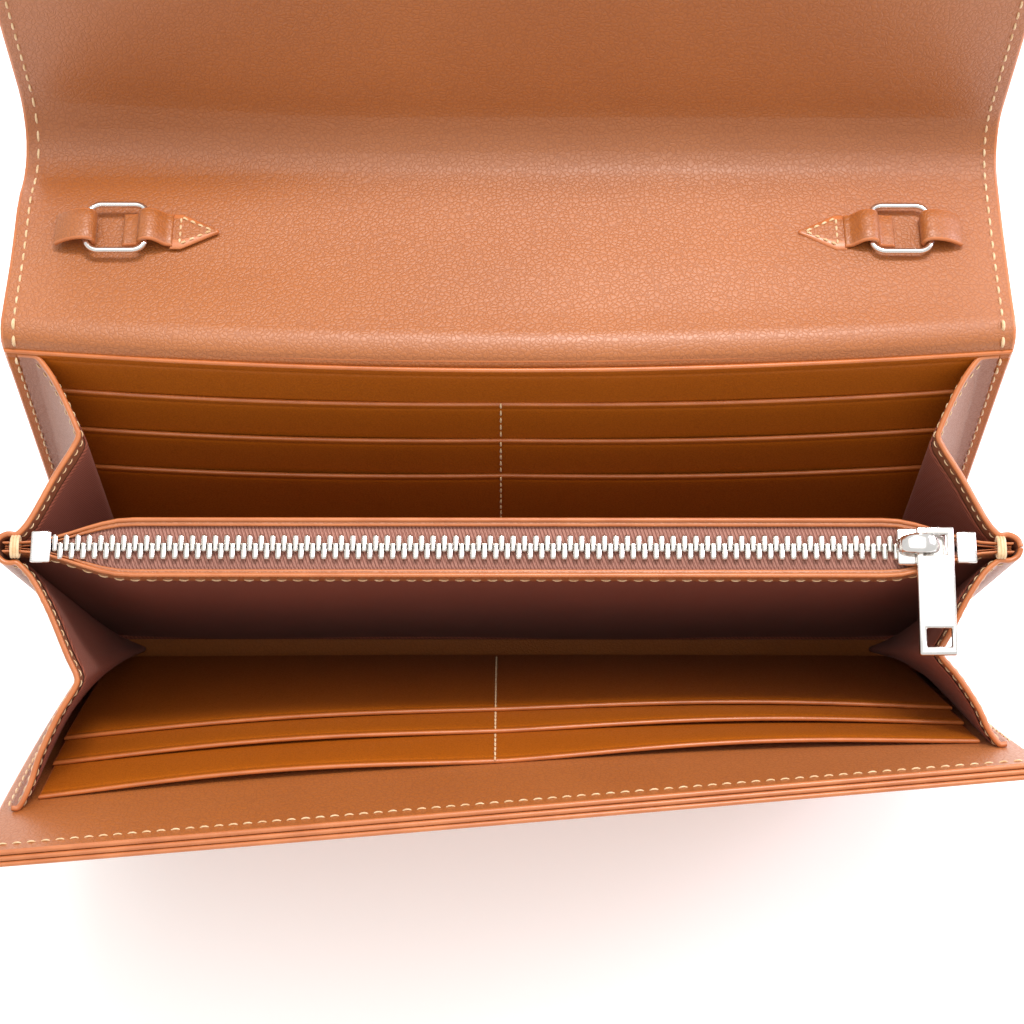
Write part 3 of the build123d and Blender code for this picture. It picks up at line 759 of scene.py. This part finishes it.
def rounded_block(name, centre, size, place, radius, holes=(), segments=3, finish=NICKEL):
    """A bevelled bar in a frame given as a matrix, with rectangular (centre, size) holes through it."""
    piece = block(name, centre, size)
    cutters = [block(name + "_cutter", *hole) for hole in holes]
    for cutter in cutters:
        cut = piece.modifiers.new("cut", "BOOLEAN")
        cut.object = cutter
        cut.operation = "DIFFERENCE"
        cut.solver = "EXACT"
    bevel = piece.modifiers.new("bevel", "BEVEL")
    bevel.width = radius
    bevel.segments = segments
    bevel.limit_method = "ANGLE"
    graph = bpy.context.evaluated_depsgraph_get()
    mesh = bpy.data.meshes.new_from_object(piece.evaluated_get(graph))
    piece.modifiers.clear()
    piece.data = mesh
    for cutter in cutters:
        bpy.data.objects.remove(cutter)
    mesh.transform(Matrix.Scale(MM, 4) @ place)
    mesh.materials.clear()
    mesh.materials.append(finish)
    mesh.polygons.foreach_set("use_smooth", [True] * len(mesh.polygons))
    mesh.set_sharp_from_angle(angle=math.radians(40))
    return piece


def zip_frame(x, s):
    """A frame on the zip: X along it, Y to the rear, Z off the teeth."""
    turn = Matrix.Rotation(math.radians(ZIP_HEADING - 90.0), 4, "X")
    return Matrix.Translation(zip_at(x, s, 0.0)) @ turn


def build_zip_metal():
    for x, word in ((-86.6, "left"), (84.9, "right")):
        stop = rounded_block(f"zip_{word}_end_stop", (0, 0, 0.1), (3.8, 6.0, 1.5), zip_frame(x, ZIP_TOP - 0.4), 0.35)
        placed(stop, "zip_pocket", "polished_metal", f"zip_{word}_stop")


# ---- gussets: a leather sheet with a fabric lining, folded inwards between two panels ----
REAR_FOLD = (                # (inwards from the wallet's side, share of the way from back panel to zip pocket)
    (2.4, 0.0), (4.6, 0.0), (6.2, 0.008), (7.6, 0.045), (9.4, 0.11), (11.6, 0.216), (13.8, 0.345), (14.3, 0.40),
    (13.2, 0.47), (9.9, 0.63), (6.2, 0.845), (4.3, 0.925), (3.1, 0.948), (1.6, 0.945), (0.3, 0.965), (-0.1, 1.0),
)
FRONT_FOLD = (               # the same from the zip pocket to the front panel
    (-0.1, 0.0), (0.3, 0.03), (1.6, 0.048), (3.1, 0.046), (4.3, 0.06), (6.6, 0.115), (9.6, 0.235), (12.8, 0.40),
    (14.6, 0.485), (14.3, 0.535), (11.2, 0.64), (7.9, 0.79), (6.3, 0.90), (5.0, 0.965), (3.8, 1.0), (2.4, 1.0),
)
GUSSET_BLENDS = {            # rear or front: two bodies, and the (Y, Z) places where the bend starts and ends
    True: ("body_back", "zip_pocket", (6.5, 62.0), (-10.0, 60.0)),
    False: ("zip_pocket", "front_panel", (-20.0, 58.0), (-44.0, 52.0)),
}
GUSSET_LINED = {True: (0.06, 0.80), False: (0.20, 0.94)}     # the lining's ends, as shares of the fold
GUSSET_SEWN = {True: (0.10, 0.86), False: (0.15, 0.93)}      # the seam's ends
GUSSET_ROWS = sorted({0.0, 0.03, 0.93, 0.95, 0.965, 0.98, 0.988, 0.993, 0.9965, 0.9985, 1.0,
                      *(k / 22 for k in range(1, 21))})
GUSSET_COLUMNS = [k / 75 for k in range(76)]
GUSSET_SEAM_LEVEL = 0.979
SEAM_SAMPLES = 200


def spline_point(points, t):
    """Catmull-Rom through (u, v) points, t from 0 to 1."""
    place = max(0.0, min(1.0, t)) * (len(points) - 1)
    k = min(int(place), len(points) - 2)
    f = place - k
    near = [points[max(0, min(len(points) - 1, k + step))] for step in (-1, 0, 1, 2)]
    return [0.5 * (2 * b + (c - a) * f + (2 * a - 5 * b + 4 * c - d) * f * f + (3 * b - a - 3 * c + d) * f ** 3)
            for a, b, c, d in zip(*near)]


def gusset_surface(side, rear):
    """surface(t, s) of one gusset in millimetres: t from rear to front, s from foot (0) to mouth (1)."""
    fold, panel_at, panel_top = (REAR_FOLD, back_at, REAR_GUSSET_TOP) if rear \
        else (FRONT_FOLD, front_at, FRONT_GUSSET_TOP)

    def surface(t, s):
        u, v = spline_point(fold, t)
        near_panel = ease((0.42 - t) / 0.30) if rear else ease((t - 0.62) / 0.26)
        depth = 1 - (1 - s) * (0.16 + 0.62 * near_panel) * min(1.0, max(0.0, u) / 4)
        x = side * (HALF_WIDTH - 0.6 - u * depth)
        middle = zip_at(x, 2.0 + (ZIP_TOP - 1.4) * s, 0.0)
        panel = panel_at(x, GUSSET_FOOT + (panel_top - GUSSET_FOOT) * s, LINED + 0.1)
        first, last = (panel, middle) if rear else (middle, panel)
        folded = math.sin(math.pi * v)
        share = v + (0.5 - v) * 0.25 * max(0.0, 0.5 - s) * folded
        y = first[1] + (last[1] - first[1]) * share
        z = first[2] + (last[2] - first[2]) * share - 1.6 * folded * s
        return Vector((x, y, z))

    return surface


def offset_surface(surface, sign):
    """at(t, s, n): the surface moved n along its own normal."""

    def at(t, s, n):
        dt = surface(min(1.0, t + 0.004), s) - surface(max(0.0, t - 0.004), s)
        ds = surface(t, min(1.0, s + 0.01)) - surface(t, max(0.0, s - 0.01))
        return tuple(surface(t, s) + dt.cross(ds).normalized() * sign * n)

    return at


def grid_sheet(name, at, ts, ss, n_range, materials):
    """A thick sheet on a (t, s) grid with a rounded top rim."""
    half, middle = (n_range[1] - n_range[0]) / 2, (n_range[0] + n_range[1]) / 2
    span = (Vector(at(0.5, ss[-1], 0)) - Vector(at(0.5, ss[0], 0))).length / (ss[-1] - ss[0])
    rows = len(ss)
    vertices = []
    for t in ts:
        for layer in (1, -1):
            for s in ss:
                swell = swelling((ss[-1] - s) * span / half)
                vertices.append(at(t, s, middle + layer * half * max(swell, 0.02)))

    def index(i, side, j):
        return (i * 2 + side) * rows + j

    faces, indices = [], []
    for i in range(len(ts) - 1):
        for j in range(rows - 1):
            on_rim = int((ss[-1] - ss[j]) * span < half * 1.3)
            faces.append((index(i, 0, j), index(i + 1, 0, j), index(i + 1, 0, j + 1), index(i, 0, j + 1)))
            faces.append((index(i, 1, j), index(i, 1, j + 1), index(i + 1, 1, j + 1), index(i + 1, 1, j)))
            indices += [on_rim, on_rim]
        for j in (0, rows - 1):
            faces.append((index(i, 0, j), index(i + 1, 0, j), index(i + 1, 1, j), index(i, 1, j)))
            indices.append(int(j > 0))
    for i in (0, len(ts) - 1):
        for j in range(rows - 1):
            faces.append((index(i, 0, j), index(i, 0, j + 1), index(i, 1, j + 1), index(i, 1, j)))
            indices.append(0)
    return fix_normals(make_object(name, vertices, faces, materials, indices))


def cloth_area(piece):
    """One face's area of a thin sheet, square metres."""
    return sum(face.area for face in piece.data.polygons) / 2


def cloth_extent(surface, ts, ss):
    """Width and length of a sheet along its top row and middle column, metres."""
    width = sum((surface(a, ss[-1]) - surface(b, ss[-1])).length for a, b in zip(ts, ts[1:]))
    middle = ts[len(ts) // 2]
    length = sum((surface(middle, a) - surface(middle, b)).length for a, b in zip(ss, ss[1:]))
    return width * MM, length * MM


def gusset_seam(name, at, rear, height):
    """Stitches below a gusset's top rim."""
    first, last = GUSSET_SEWN[rear]

    def sample(k):
        return first + (last - first) * k / SEAM_SAMPLES

    places = [Vector(at(sample(k), GUSSET_SEAM_LEVEL, height)) for k in range(SEAM_SAMPLES + 1)]
    lengths = [0.0]
    for a, b in zip(places, places[1:]):
        lengths.append(lengths[-1] + (b - a).length)

    def point_at(distance):
        k = max(0, min(SEAM_SAMPLES - 1, int(np.searchsorted(lengths, distance)) - 1))
        t = sample(k + (distance - lengths[k]) / max(1e-6, lengths[k + 1] - lengths[k]))
        place = Vector(at(t, GUSSET_SEAM_LEVEL, height))
        outward = Vector(at(t, GUSSET_SEAM_LEVEL, height + 1.0)) - place
        return place, outward.normalized() * (1 if height > 0.5 else -1)

    return seam(name, point_at, lengths[-1], pitch=2.0, radius=0.14)


def build_gussets():
    for side, side_name in SIDES:
        for rear, word in ((True, "rear"), (False, "front")):
            surface = gusset_surface(side, rear)
            at = offset_surface(surface, -side)
            bodies = GUSSET_BLENDS[rear]
            piece = grid_sheet(f"{side_name}_{word}_gusset_leather", at, GUSSET_COLUMNS, GUSSET_ROWS,
                               (0.0, GUSSET_LEATHER), [GUSSET_OUT, RIM])
            bent(piece, *bodies, "tan_leather", f"{side_name}_{word}_gusset")
            low, high = GUSSET_LINED[rear]
            inner = [t for t in GUSSET_COLUMNS if low < t < high]
            lining_rows = [r * GUSSET_LINING_TOP for r in GUSSET_ROWS if r < 0.99] + [GUSSET_LINING_TOP]
            lining = grid_sheet(f"{side_name}_{word}_gusset_twill", at, inner, lining_rows, (-GUSSET_LINING, 0.0),
                                [TWILL, TWILL])
            area = cloth_area(lining)
            bent(lining, *bodies, "mauve_twill", f"{side_name}_{word}_gusset_lining")
            width, length = cloth_extent(surface, inner, lining_rows)
            size = (max(width, area / length), length)
            for face, height in (("inside", -0.05), ("outside", GUSSET_LEATHER)):
                stitched = gusset_seam(f"{side_name}_{word}_gusset_seam_{face}", at, rear, height)
                bent(stitched, *bodies, "thread")


# ---- flap ----
FLAP_FACES = (("inside", FLAP_THICK, 1), ("outside", 0.0, -1))


def build_flap():
    wide = (-HALF_WIDTH, HALF_WIDTH)
    bend_start, _ = flap_path(BEND_S - 3.0)
    bend_end, _ = flap_path(BEND_S + FLAP_BEND_RUN * 0.85)
    parts = (                # name, where it starts and ends, its soft sides, its blend, its CAD nodes
        ("hinge", (0.0, SPLIT_S), (True, True, False, False), ("body_back", "flap_top", (15.2, 95.0), (25.5, 101.5)),
         ("flap_top_outer_leather", "flap_top_board"), "flap_top_lining"),
        ("front", (SPLIT_S, FLAP_LENGTH), (True, True, False, True), ("flap_top", "flap_front", bend_start, bend_end),
         ("flap_front_outer_leather", "flap_front_board", "flap_front_magnet"), "flap_front_lining"),
    )
    bends = [HINGE_S + 1.5 * k for k in range(-3, 6)] + [BEND_S + 2.0 * k for k in range(9)]
    side_x, end = HALF_WIDTH - SEAM_INSET, FLAP_LENGTH - SEAM_INSET
    for word, (start, stop), soft, blend, nodes, lining in parts:
        outer = sheet(f"flap_{word}_outside", flap_at, wide, (start, stop), (0.0, FLAP_SPLIT), OUTSIDES, soft=soft,
                      extra_s=bends)
        bent(outer, *blend, "tan_leather", *nodes)
        inner = sheet(f"flap_{word}_inside", flap_at, wide, (max(start, 3.0), stop), (FLAP_SPLIT, FLAP_THICK),
                      LEATHERS, soft=soft, extra_s=bends)
        bent(inner, *blend, "tan_leather", lining)
        for side, side_name in SIDES:
            for face, height, sign in FLAP_FACES:
                low = max(start, HINGE_S - 1.5 if face == "inside" else 1.0)
                stitched = flap_seam(f"flap_{word}_{side_name}_seam_{face}", side * side_x, low, min(stop, end),
                                     height, sign)
                bent(stitched, *blend, "thread")
    for face, height, sign in FLAP_FACES:
        stitched = panel_seam(f"flap_end_seam_{face}", flap_at, (-side_x, end), (side_x, end), height,
                              under=sign < 0)
        placed(stitched, "flap_front", "thread")


def flap_seam(name, x, low, high, height, sign):
    """Stitches along the flap's side, over its bends."""

    def point_at(distance):
        place = Vector(flap_at(x, low + distance, height))
        outward = Vector(flap_at(x, low + distance, height + 1.0)) - place
        return place, outward.normalized() * sign

    heavy = (0, 1) if low < SPLIT_S - 1 and sign > 0 else ()
    return seam(name, point_at, high - low, radius=0.24, heavy=heavy)


# ---- strap rings ----
RING_HALF = (5.65, 5.05)     # the ring's wire centre line, half sizes
RING_CORNER = 2.5
RING_UP = 1.75               # the wire's centre above the flap's inner face
RING_SLOPE = 5.2             # the flap's slope there, degrees
WIRE = 0.58
STRAP_THICK = 0.95
TAB_LOOP = (                 # (outwards from the ring's inner bar, off the flap)
    (4.6, 0.55), (2.6, 0.62), (1.5, 1.0), (1.15, 1.75), (0.75, 2.6), (-0.35, 2.95), (-1.6, 2.6), (-2.6, 1.7),
    (-3.6, 0.8), (-4.9, 0.5),
)
KEEPER_ARCH = (              # (outwards from the ring's outer bar, off the flap)
    (-1.3, 0.9), (-1.3, 1.8), (-0.85, 2.65), (0.2, 3.0), (1.8, 2.85), (3.6, 2.25), (5.2, 1.3), (6.0, 0.65),
)
PATCH_SEAM = ((-1.3, -3.0), (-1.3, 3.0), (-7.3, 0.0), (-1.3, -3.0))     # corners, from the tab's foot


def ring_frame(side, name):
    """X outwards, Y along the flap, Z off its inner face, origin at the ring's centre on the flap, millimetres."""
    low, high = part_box(f"{name}_strap_ring")
    c, s = direction(RING_SLOPE)
    up = Vector((0, -s, c))
    turn = Matrix((Vector((side, 0, 0)), Vector((0, c, s)), up)).transposed().to_4x4()
    return Matrix.Translation((low + high) / 2 / MM - up * RING_UP) @ turn


def swept(name, points, normals, radii, place, finish, sides=14, closed=False):
    """A tube through points in a frame."""
    vertices, faces = tube([Vector(p) for p in points], [Vector(n) for n in normals], radii, sides, closed)
    return fix_normals(make_object(name, [place @ v for v in vertices], faces, [finish]))


def strip(name, path, width, place):
    """A leather strip of that width (along Y), following (x, z) points in a frame, with rounded edges."""
    count = (len(path) - 1) * 6
    dense = [spline_point(path, k / count) for k in range(count + 1)]
    half = width / 2
    section = [(-half + 0.4, 0.5), (-half / 3, 0.5), (half / 3, 0.5), (half - 0.4, 0.5), (half - 0.1, 0.3),
               (half, 0.0), (half - 0.1, -0.3)]
    section += [(-y, -n) for y, n in section]
    vertices = []
    for k, (x, z) in enumerate(dense):
        before, after = dense[max(0, k - 1)], dense[min(count, k + 1)]
        tangent = Vector((after[0] - before[0], after[1] - before[1])).normalized()
        thick = STRAP_THICK * max(math.sqrt(0.05), swelling(min(k, count - k) / 2.0))
        for y, n in section:
            vertices.append(place @ Vector((x - tangent.y * n * thick, y, z + tangent.x * n * thick)))
    sides = len(section)
    indices = [int(3 <= m <= 6 or m >= 10) for _ in range(count) for m in range(sides)] + [1, 1]
    return fix_normals(make_object(name, vertices, skin(count + 1, sides), LEATHERS, indices))


def build_rings():
    bar, half = RING_HALF[0], RING_HALF[1]
    points = []
    for number, (x_sign, y_sign) in enumerate(((1, 1), (-1, 1), (-1, -1), (1, -1))):
        for k in range(9):
            c, s = direction(90.0 * number + 90.0 * k / 8)
            points.append((x_sign * (bar - RING_CORNER) + RING_CORNER * c,
                           y_sign * (half - RING_CORNER) + RING_CORNER * s, RING_UP))
    count = len(points)
    for side, name in SIDES:
        place = ring_frame(side, name)
        ring = swept(f"{name}_ring_wire", points, [(0, 0, 1)] * count, [(WIRE, WIRE)] * count, place, NICKEL,
                     closed=True)
        placed(ring, f"{name}_ring", "polished_metal", f"{name}_strap_ring")
        tab = strip(f"{name}_strap_tab", [(x - bar, z) for x, z in TAB_LOOP], 7.0, place)
        placed(tab, "flap_top", "tan_leather", f"{name}_ring_tab")
        keeper = strip(f"{name}_strap_end", [(x + bar, z) for x, z in KEEPER_ARCH], 6.8, place)
        placed(keeper, f"{name}_ring", "tan_leather", f"{name}_ring_keeper")
        foot = -bar - 5.0

        def patch_at(x, s, n, place=place):
            reach = max(0.0, 1 - max(0.0, s - 1.5) / 7.6)
            return tuple(place @ Vector((foot - s, x * 3.9 * reach, n)))

        patch = sheet(f"{name}_strap_patch", patch_at, (-1.0, 1.0), (-0.6, 8.6), (-0.4, 0.55), LEATHERS, step=0.5)
        placed(patch, "flap_top", "tan_leather", f"{name}_ring_tab_patch")
        up = place.to_3x3() @ Vector((0, 0, 1))
        for number, (a, b) in enumerate(zip(PATCH_SEAM, PATCH_SEAM[1:]), 1):
            start, end = (place @ Vector((foot + x, y, 0.5)) for x, y in (a, b))
            length = math.dist(a, b)

            def point_at(distance, start=start, end=end, length=length, up=up):
                return start.lerp(end, distance / length), up

            stitched = seam(f"{name}_patch_seam_{number}", point_at, length, pitch=1.5, radius=0.24)
            placed(stitched, "flap_top", "thread")


# ---- slider, pull and the pocket's end loops ----
SLIDER_DECK = 2.35           # the slider's top above its middle
PULL_PIVOT = 86.55           # the pull's place up the pocket's slope
PULL_SLOPE = 6.0             # how much it stands off the zip, degrees


def build_slider():
    place = zip_frame(SLIDER_POST - 2.0, ZIP_TOP - 1.1)
    deck = SLIDER_DECK
    body = rounded_block("slider_top_plate", (0, 0, deck - 0.5), (9.3, 7.0, 1.0), place, 0.45, segments=4)
    placed(body, "zip_slider", "polished_metal", "zip_slider")
    under = rounded_block("slider_lower_plate", (0, 0, -1.6), (9.3, 7.0, 0.9), place, 0.4)
    placed(under, "zip_slider", "polished_metal")
    for sign, word in ((1, "rear"), (-1, "front")):
        flange = rounded_block(f"slider_{word}_flange", (0, sign * 3.2, deck - 1.4), (6.4, 0.6, 1.5), place, 0.22)
        placed(flange, "zip_slider", "polished_metal")
    arch, normals, radii = [], [], []
    for k in range(17):
        c, s = direction(180.0 * k / 16)
        s = max(0.0, s)
        arch.append((-0.9 + 3.5 * c, 0, deck - 0.2 + 2.9 * s ** 0.75))
        normals.append((-0.4 * c, 0, 1.0))
        radii.append((1.15 + 0.75 * s, 0.5))
    crown = swept("slider_crown", arch, normals, radii, place, NICKEL, sides=16)
    placed(crown, "zip_slider", "polished_metal")


def build_pull():
    turn = Matrix.Rotation(math.radians(ZIP_HEADING - 90.0 + PULL_SLOPE), 4, "X")
    place = Matrix.Translation(zip_at(SLIDER_POST, PULL_PIVOT, 0)) @ turn
    bar = rounded_block("zip_pull_bar", (0, -8.65, 0), (6.9, 23.7, 1.25), place, 0.4, segments=4,
                        holes=(((0, -0.1, 0), (4.3, 3.8, 4.0)), ((0.2, -17.2, 0), (4.7, 3.4, 4.0))))
    placed(bar, "zip_pull", "polished_metal", "zip_pull")


def build_pocket_ends():
    count = 24
    around = [direction(360.0 * k / count) for k in range(count)]
    loop = [(0, 1.95 * c, s) for c, s in around]
    for side, name in SIDES:
        for number in range(3):
            place = zip_frame(side * (90.7 + 0.55 * number), ZIP_TOP + 0.1)
            wound = swept(f"{name}_end_tack_{number}", loop, [(1, 0, 0)] * count, [(0.30, 0.32)] * count, place,
                          THREAD, sides=8, closed=True)
            placed(wound, "zip_pocket", "thread", f"{name}_zip_end_tack")
    spine = rounded_block("zip_pocket_fold_strip", (0, 0, 0.75), (178.0, 2.6, 0.9), zip_frame(0, 0.0), 0.3,
                          finish=TWILL)
    placed(spine, "zip_pocket", "mauve_twill", "zip_pocket_spine")


# ---- floor, light, camera ----
CAMERA_PLACE = (-0.86, -187.5, 395.0)
CAMERA_PITCH = 60.77
CAMERA_YAW = 0.49
CAMERA_ROLL = 0.48
CAMERA_LENS = 66.9
CAMERA_SENSOR = 36.0
FLOOR_HALF = 3000
WORLD_STRENGTH = 0.8


def build_stage():
    made = Recipe("pale_table")
    table = made.shaded({
        "Base Color": made.ramp(made.noise(6.0, 3.0), (0.3, (0.93, 0.93, 0.915)), (0.7, (0.95, 0.95, 0.945))),
        "Roughness": 0.6, "Emission Color": (1.0, 0.995, 0.985), "Emission Strength": 0.3,
    })
    corners = [(x * FLOOR_HALF, y * FLOOR_HALF, 0) for x, y in ((-1, -1), (1, -1), (1, 1), (-1, 1))]
    make_object("floor", corners, [(0, 1, 2, 3)], [table])


def area_light(name, place, target, size, power, colour):
    data = bpy.data.lights.new(name, "AREA")
    data.shape = "RECTANGLE"
    data.size, data.size_y = size
    data.energy = power
    data.color = colour
    lamp = bpy.data.objects.new(name, data)
    lamp.location = place
    lamp.rotation_mode = "QUATERNION"
    lamp.rotation_quaternion = (Vector(target) - Vector(place)).to_track_quat("-Z", "Y")
    bpy.context.scene.collection.objects.link(lamp)


def build_light():
    world = bpy.data.worlds.new("studio")
    world.use_nodes = True
    background = world.node_tree.nodes["Background"]
    background.inputs["Color"].default_value = (1.0, 0.99, 0.98, 1.0)
    background.inputs["Strength"].default_value = WORLD_STRENGTH
    bpy.context.scene.world = world
    area_light("highlight_softbox", (0.06, 0.15, 0.72), (0.015, 0.05, 0.10), (0.22, 0.10), 2.6, (1.0, 0.95, 0.93))
    area_light("rear_softbox", (0.0, 0.55, 0.45), (0.0, 0.02, 0.09), (0.5, 0.2), 2.8, (1.0, 0.96, 0.97))
    area_light("overhead_softbox", (0.0, -0.05, 0.8), (0, -0.02, 0.05), (0.9, 0.6), 2.0, (1.0, 0.98, 0.96))
    area_light("right_rim_light", (0.55, 0.15, 0.35), (0.08, 0.03, 0.1), (0.25, 0.25), 1.4, (0.95, 0.85, 1.0))


def build_camera():
    data = bpy.data.cameras.new("camera")
    data.lens = CAMERA_LENS
    data.sensor_width = CAMERA_SENSOR
    data.clip_start = 0.01
    camera = bpy.data.objects.new("camera", data)
    camera.location = Vector(CAMERA_PLACE) * MM
    turn = Matrix.Rotation(-math.radians(CAMERA_YAW), 4, "Z")
    turn = turn @ Matrix.Rotation(math.radians(90.0 - CAMERA_PITCH), 4, "X")
    turn = turn @ Matrix.Rotation(math.radians(CAMERA_ROLL), 4, "Z")
    camera.rotation_mode = "QUATERNION"
    camera.rotation_quaternion = turn.to_quaternion()
    bpy.context.scene.collection.objects.link(camera)
    bpy.context.scene.camera = camera
    bpy.context.scene.view_settings.view_transform = "Standard"


build_back()
build_front()
build_base()
build_zip_walls()
build_teeth()
build_zip_metal()
build_gussets()
build_flap()
build_rings()
build_slider()
build_pull()
build_pocket_ends()
build_stage()
build_light()
build_camera()
